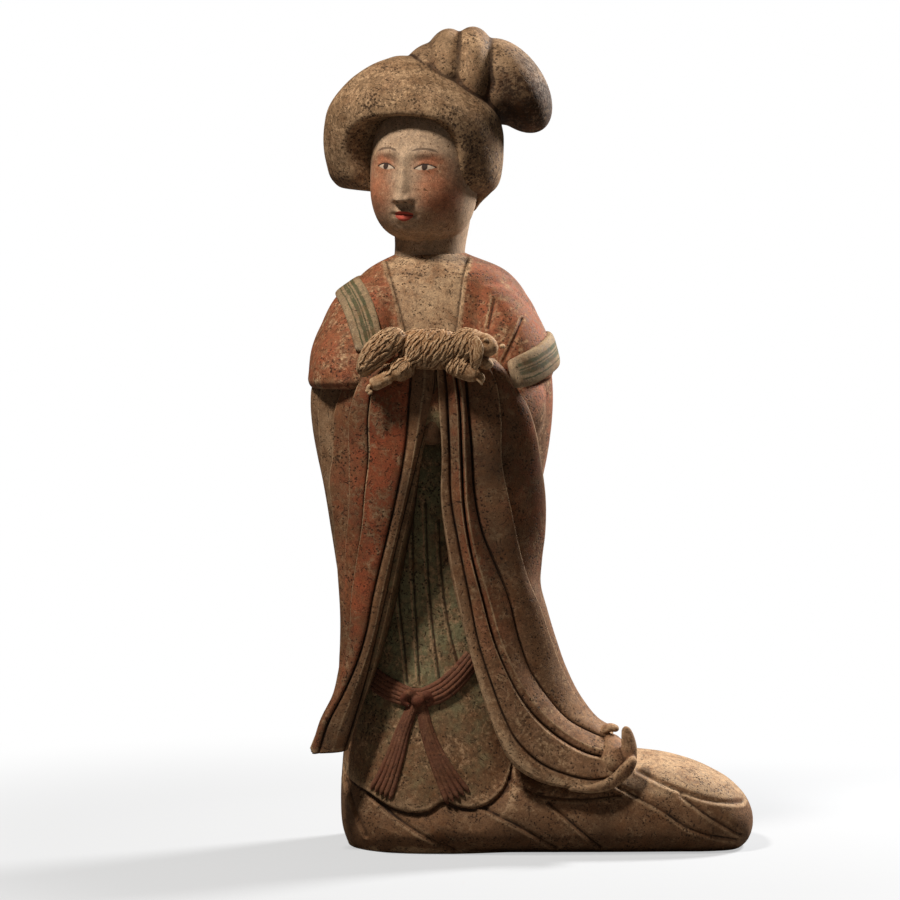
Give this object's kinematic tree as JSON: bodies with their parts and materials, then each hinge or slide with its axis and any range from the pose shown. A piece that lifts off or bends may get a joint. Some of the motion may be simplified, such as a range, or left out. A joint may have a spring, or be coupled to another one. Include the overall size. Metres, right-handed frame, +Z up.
{
  "type": "pottery court lady figure",
  "caption": "Standing painted-pottery court lady with a looped hairstyle and long sleeves, holding a lap dog, on a sweeping train.",
  "frame": {"origin": "on the flat underside, below the middle of the standing body", "axes": "+Z up along the figure's height, -Y the way she faces, +X along the train, to the viewer's right"},
  "size_m": [0.2693, 0.1379, 0.4988],
  "materials": {
    "painted_pottery": "matt fired clay with worn cold-painted colours"
  },
  "bodies": {
    "root": {"court_lady_figure": "painted_pottery"}
  },
  "joints": []
}
